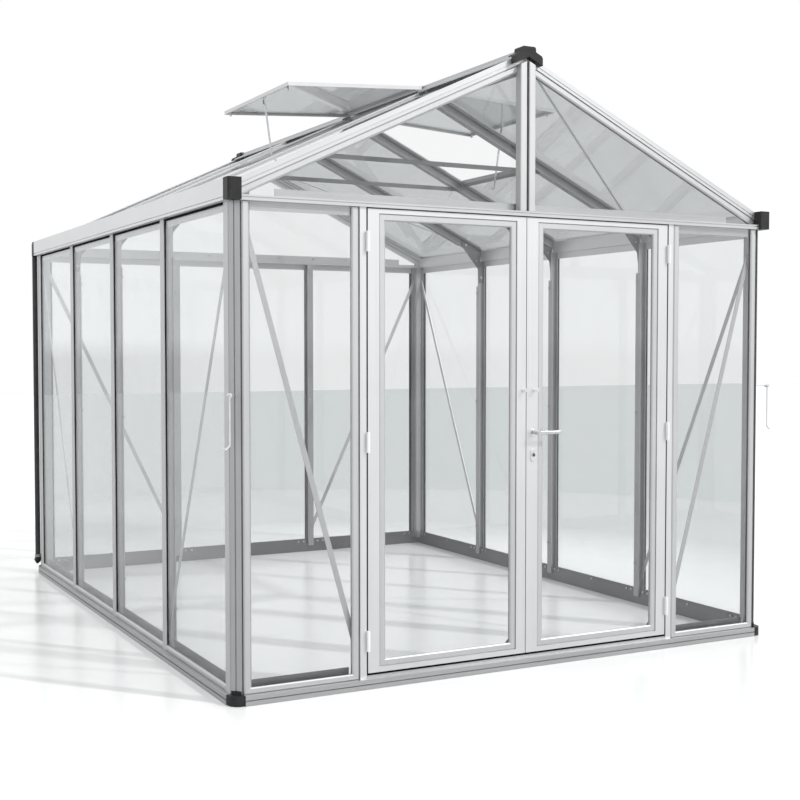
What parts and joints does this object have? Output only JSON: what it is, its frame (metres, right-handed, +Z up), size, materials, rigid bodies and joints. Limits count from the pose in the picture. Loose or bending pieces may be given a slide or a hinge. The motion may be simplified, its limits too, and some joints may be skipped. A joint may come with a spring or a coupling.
{
  "type": "greenhouse",
  "caption": "Walk-in aluminium and glass greenhouse with a ridge roof, double hinged doors, hinged roof vents, gutters and a downpipe.",
  "frame": {"origin": "centre of the base plan, on the ground plane under the base rails", "axes": "+Z up, +Y from the door gable towards the rear gable along the ridge, +X to the right seen from the doors"},
  "size_m": [2.491, 3.149, 2.391],
  "materials": {
    "mill_aluminium": "extruded, natural anodised, satin",
    "bead_aluminium": "extruded, bright anodised, satin",
    "clear_glass": "clear toughened sheet with a faint green tint",
    "black_moulding": "moulded, fine texture",
    "gasket_rubber": "extruded, matt",
    "grey_pipe": "extruded pipe, matt",
    "white_hinge": "moulded, soft gloss",
    "zinc_steel": "bright zinc plated",
    "bright_hook": "bright plated, softly polished",
    "satin_lock": "satin nickel plated",
    "chrome_lock": "turned, chrome plated",
    "grey_glass": "toughened sheet with a light grey tone",
    "grey_clip": "moulded clip, matt"
  },
  "bodies": {
    "frame": {"base_rails": "mill_aluminium", "braces": "mill_aluminium", "corner_feet": "black_moulding", "corner_posts": "mill_aluminium", "door_posts": "mill_aluminium", "door_sill": "mill_aluminium", "downpipe": "grey_pipe", "downpipe_clip": "grey_clip", "downpipe_ends": "black_moulding", "end_caps": "black_moulding", "frame_bolts": "zinc_steel", "gable_glass": "clear_glass", "gable_posts": "mill_aluminium", "gable_rafters": "mill_aluminium", "glazing_beads": "bead_aluminium", "glazing_caps": "bead_aluminium", "glazing_gaskets": "gasket_rubber", "gutters": "mill_aluminium", "headers": "mill_aluminium", "hook_eyes": "zinc_steel", "knee_brackets": "mill_aluminium", "post_hinges": "white_hinge", "ridge_beam": "mill_aluminium", "roof_bars": "mill_aluminium", "roof_glass": "grey_glass", "tie_bars": "mill_aluminium", "vent_hinge_rods": "zinc_steel", "vent_sills": "mill_aluminium", "wall_bars": "mill_aluminium", "wall_glass": "clear_glass"},
    "door_left": {"door_frame_left": "mill_aluminium", "door_beads_left": "bead_aluminium", "door_glass_left": "clear_glass", "door_gussets_left": "zinc_steel", "door_hinges_left": "white_hinge", "door_peg_left": "zinc_steel", "strike_plate": "zinc_steel"},
    "door_right": {"door_frame_right": "mill_aluminium", "door_beads_right": "bead_aluminium", "door_glass_right": "clear_glass", "door_gussets_right": "zinc_steel", "door_hinges_right": "white_hinge", "door_peg_right": "zinc_steel", "lock_case": "zinc_steel", "lock_plates": "satin_lock", "lock_cylinder": "chrome_lock"},
    "lever": {"lever_handle": "satin_lock"},
    "latch": {"latch_bolt": "satin_lock"},
    "plug": {"cylinder_plug": "chrome_lock"},
    "bolt_top": {"shoot_bolt_top": "zinc_steel"},
    "bolt_bottom": {"shoot_bolt_bottom": "zinc_steel"},
    "vent_left": {"vent_frame_left": "mill_aluminium", "vent_glass_left": "grey_glass"},
    "vent_right": {"vent_frame_right": "mill_aluminium", "vent_glass_right": "grey_glass"},
    "stay_left": {"vent_stay_left": "bright_hook"},
    "stay_right": {"vent_stay_right": "bright_hook"},
    "hook_left": {"cabin_hook_left": "bright_hook"},
    "hook_right": {"cabin_hook_right": "bright_hook"}
  },
  "joints": [
    {"name": "door_left_swing", "type": "hinge", "parent": "frame", "child": "door_left", "pos_m": [-0.688, -1.533, 0.9], "axis": [0, 0, -1], "range_deg": [0, 170]},
    {"name": "door_right_swing", "type": "hinge", "parent": "frame", "child": "door_right", "pos_m": [0.688, -1.533, 0.9], "axis": [0, 0, 1], "range_deg": [0, 170]},
    {"name": "lever_turn", "type": "hinge", "parent": "door_right", "child": "lever", "pos_m": [0.03, -1.508, 0.914], "axis": [0, 1, 0], "range_deg": [0, 40], "stiffness_Nm_per_rad": 1.5},
    {"name": "latch_slide", "type": "slide", "parent": "door_right", "child": "latch", "axis": [1, 0, 0], "range_m": [0, 0.0101]},
    {"name": "plug_turn", "type": "hinge", "parent": "door_right", "child": "plug", "pos_m": [0.03, -1.508, 0.826], "axis": [0, 1, 0], "range_deg": [-90, 90]},
    {"name": "bolt_top_slide", "type": "slide", "parent": "door_left", "child": "bolt_top", "axis": [0, 0, 1], "range_m": [0, 0.018]},
    {"name": "bolt_bottom_slide", "type": "slide", "parent": "door_left", "child": "bolt_bottom", "axis": [0, 0, -1], "range_m": [0, 0.012]},
    {"name": "vent_left_swing", "type": "hinge", "parent": "frame", "child": "vent_left", "pos_m": [-0.026, -0.3695, 2.38], "axis": [0, 1, 0], "range_deg": [-21.2, 8]},
    {"name": "vent_right_swing", "type": "hinge", "parent": "frame", "child": "vent_right", "pos_m": [0.026, -0.3695, 2.38], "axis": [0, -1, 0], "range_deg": [-21.2, 8]},
    {"name": "stay_left_hang", "type": "hinge", "parent": "vent_left", "child": "stay_left", "pos_m": [-0.6152, -0.3695, 2.3178], "axis": [0, 1, 0], "range_deg": [-8.1, 21.3]},
    {"name": "stay_right_hang", "type": "hinge", "parent": "vent_right", "child": "stay_right", "pos_m": [0.6152, -0.3695, 2.3178], "axis": [0, -1, 0], "range_deg": [-8.1, 21.3]},
    {"name": "hook_left_swing", "type": "hinge", "parent": "frame", "child": "hook_left", "pos_m": [-1.22, -1.5425, 1.079], "axis": [0, 1, 0], "range_deg": [0, 90]},
    {"name": "hook_right_swing", "type": "hinge", "parent": "frame", "child": "hook_right", "pos_m": [1.22, -1.5425, 1.079], "axis": [0, -1, 0], "range_deg": [0, 90]}
  ],
  "couplings": [
    {"joint": "latch_slide", "follows": "lever_turn", "m_per_rad": 0.0143},
    {"joint": "stay_left_hang", "follows": "vent_left_swing", "ratio": -1},
    {"joint": "stay_right_hang", "follows": "vent_right_swing", "ratio": -1}
  ]
}
